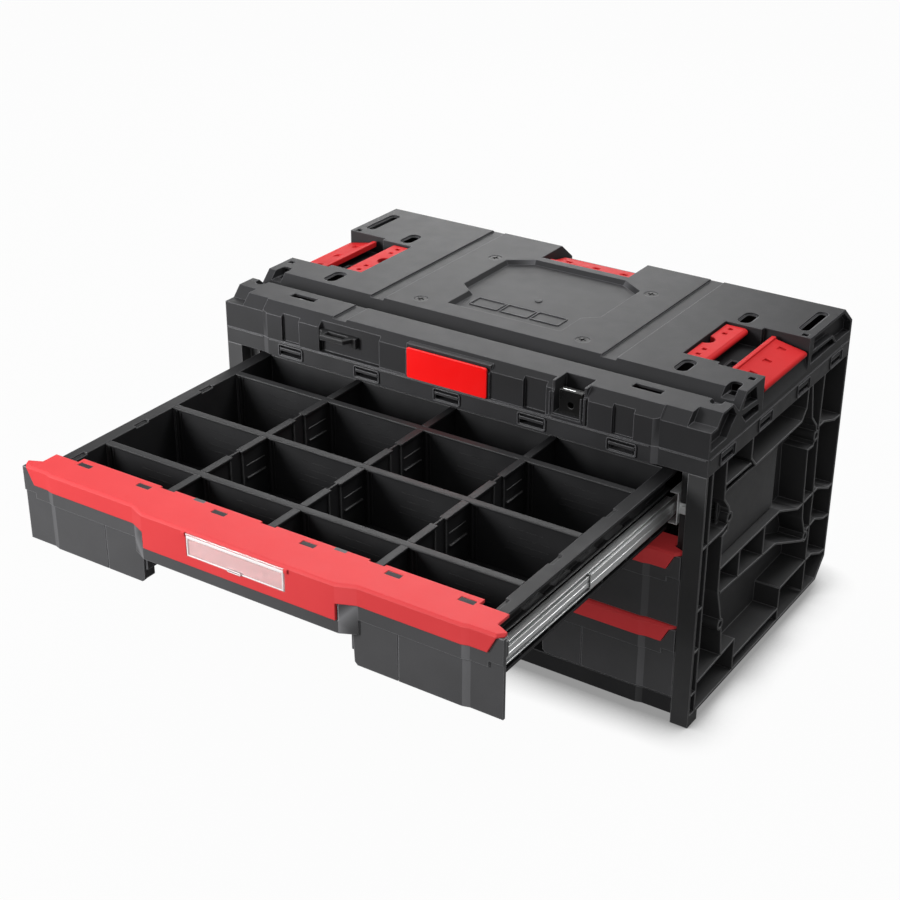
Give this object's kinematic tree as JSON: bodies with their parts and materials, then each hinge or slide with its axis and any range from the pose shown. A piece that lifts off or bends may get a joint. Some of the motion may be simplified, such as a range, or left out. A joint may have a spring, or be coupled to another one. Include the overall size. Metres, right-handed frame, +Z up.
{
  "type": "drawer tool box",
  "caption": "Stackable plastic tool box with red-handled drawers on steel telescopic rails, a divided tray, ribbed sides and a flat lid with folding latches.",
  "frame": {"origin": "middle of the cabinet's footprint on the floor, at the foot of the centre rib of the base", "axes": "+Z up, +Y from the drawer fronts to the back, +X to the right seen from the front"},
  "size_m": [0.585, 0.691, 0.348],
  "materials": {
    "body_plastic": "moulded satin black",
    "lid_plastic": "moulded satin dark grey",
    "front_plastic": "moulded satin dark grey",
    "tray_plastic": "moulded satin black",
    "red_plastic": "moulded satin red",
    "steel": "zinc-plated rolled sheet",
    "clear_plastic": "clear gloss"
  },
  "bodies": {
    "cabinet": {"back_panel": "body_plastic", "base_panel": "body_plastic", "body_rim": "body_plastic", "bottom_left_cabinet_rail": "steel", "bottom_right_cabinet_rail": "steel", "front_badge": "red_plastic", "left_latch_pin": "steel", "left_lever_pin": "steel", "left_side_panel": "body_plastic", "lid": "lid_plastic", "lid_screws": "steel", "lock_plate": "body_plastic", "middle_left_cabinet_rail": "steel", "middle_right_cabinet_rail": "steel", "padlock_loop": "body_plastic", "rail_screws": "steel", "rear_latch_pin": "steel", "right_latch_pin": "steel", "right_lever_pin": "steel", "right_side_panel": "body_plastic", "top_left_cabinet_rail": "steel", "top_right_cabinet_rail": "steel"},
    "top_drawer": {"top_cross_dividers": "tray_plastic", "top_front_panel": "front_plastic", "top_handle": "red_plastic", "top_left_drawer_rail": "steel", "top_long_divider_1": "tray_plastic", "top_long_divider_2": "tray_plastic", "top_long_divider_3": "tray_plastic", "top_right_drawer_rail": "steel", "top_tray": "tray_plastic"},
    "top_slide": {"top_ball_cages": "steel", "top_left_middle_rail": "steel", "top_right_middle_rail": "steel"},
    "top_window": {"top_label_window": "clear_plastic"},
    "middle_drawer": {"middle_front_panel": "front_plastic", "middle_handle": "red_plastic", "middle_left_drawer_rail": "steel", "middle_right_drawer_rail": "steel", "middle_tray": "tray_plastic"},
    "middle_slide": {"middle_ball_cages": "steel", "middle_left_middle_rail": "steel", "middle_right_middle_rail": "steel"},
    "middle_window": {"middle_label_window": "clear_plastic"},
    "bottom_drawer": {"bottom_front_panel": "front_plastic", "bottom_handle": "red_plastic", "bottom_left_drawer_rail": "steel", "bottom_right_drawer_rail": "steel", "bottom_tray": "tray_plastic"},
    "bottom_slide": {"bottom_ball_cages": "steel", "bottom_left_middle_rail": "steel", "bottom_right_middle_rail": "steel"},
    "bottom_window": {"bottom_label_window": "clear_plastic"},
    "left_flap": {"left_latch_flap": "red_plastic"},
    "right_flap": {"right_latch_flap": "red_plastic"},
    "rear_flap": {"rear_latch_flap": "red_plastic"},
    "left_lever": {"left_latch_lever": "red_plastic"},
    "right_lever": {"right_latch_lever": "red_plastic"}
  },
  "joints": [
    {"name": "top_drawer_slide", "type": "slide", "parent": "cabinet", "child": "top_drawer", "axis": [0, -1, 0], "range_m": [-0.327, 0]},
    {"name": "top_middle_slide", "type": "slide", "parent": "cabinet", "child": "top_slide", "axis": [0, -1, 0], "range_m": [-0.1635, 0]},
    {"name": "top_window_hinge", "type": "hinge", "parent": "top_drawer", "child": "top_window", "pos_m": [0, -0.514, 0.2775], "axis": [-1, 0, 0], "range_deg": [0, 110]},
    {"name": "middle_drawer_slide", "type": "slide", "parent": "cabinet", "child": "middle_drawer", "axis": [0, -1, 0], "range_m": [0, 0.327]},
    {"name": "middle_middle_slide", "type": "slide", "parent": "cabinet", "child": "middle_slide", "axis": [0, -1, 0], "range_m": [0, 0.1635]},
    {"name": "middle_window_hinge", "type": "hinge", "parent": "middle_drawer", "child": "middle_window", "pos_m": [0, -0.187, 0.1935], "axis": [-1, 0, 0], "range_deg": [0, 110]},
    {"name": "bottom_drawer_slide", "type": "slide", "parent": "cabinet", "child": "bottom_drawer", "axis": [0, -1, 0], "range_m": [0, 0.327]},
    {"name": "bottom_middle_slide", "type": "slide", "parent": "cabinet", "child": "bottom_slide", "axis": [0, -1, 0], "range_m": [0, 0.1635]},
    {"name": "bottom_window_hinge", "type": "hinge", "parent": "bottom_drawer", "child": "bottom_window", "pos_m": [0, -0.187, 0.1095], "axis": [-1, 0, 0], "range_deg": [0, 110]},
    {"name": "left_flap_hinge", "type": "hinge", "parent": "cabinet", "child": "left_flap", "pos_m": [-0.2885, 0, 0.331], "axis": [0, -1, 0], "range_deg": [0, 100]},
    {"name": "right_flap_hinge", "type": "hinge", "parent": "cabinet", "child": "right_flap", "pos_m": [0.2885, 0, 0.331], "axis": [0, 1, 0], "range_deg": [0, 100]},
    {"name": "rear_flap_hinge", "type": "hinge", "parent": "cabinet", "child": "rear_flap", "pos_m": [0, 0.15, 0.331], "axis": [-1, 0, 0], "range_deg": [0, 100]},
    {"name": "left_lever_hinge", "type": "hinge", "parent": "cabinet", "child": "left_lever", "pos_m": [-0.2235, 0, 0.3415], "axis": [0, -1, 0], "range_deg": [0, 85]},
    {"name": "right_lever_hinge", "type": "hinge", "parent": "cabinet", "child": "right_lever", "pos_m": [0.2235, 0, 0.3415], "axis": [0, 1, 0], "range_deg": [0, 85]}
  ],
  "couplings": [
    {"joint": "top_middle_slide", "follows": "top_drawer_slide", "ratio": 0.5},
    {"joint": "middle_middle_slide", "follows": "middle_drawer_slide", "ratio": 0.5},
    {"joint": "bottom_middle_slide", "follows": "bottom_drawer_slide", "ratio": 0.5}
  ]
}
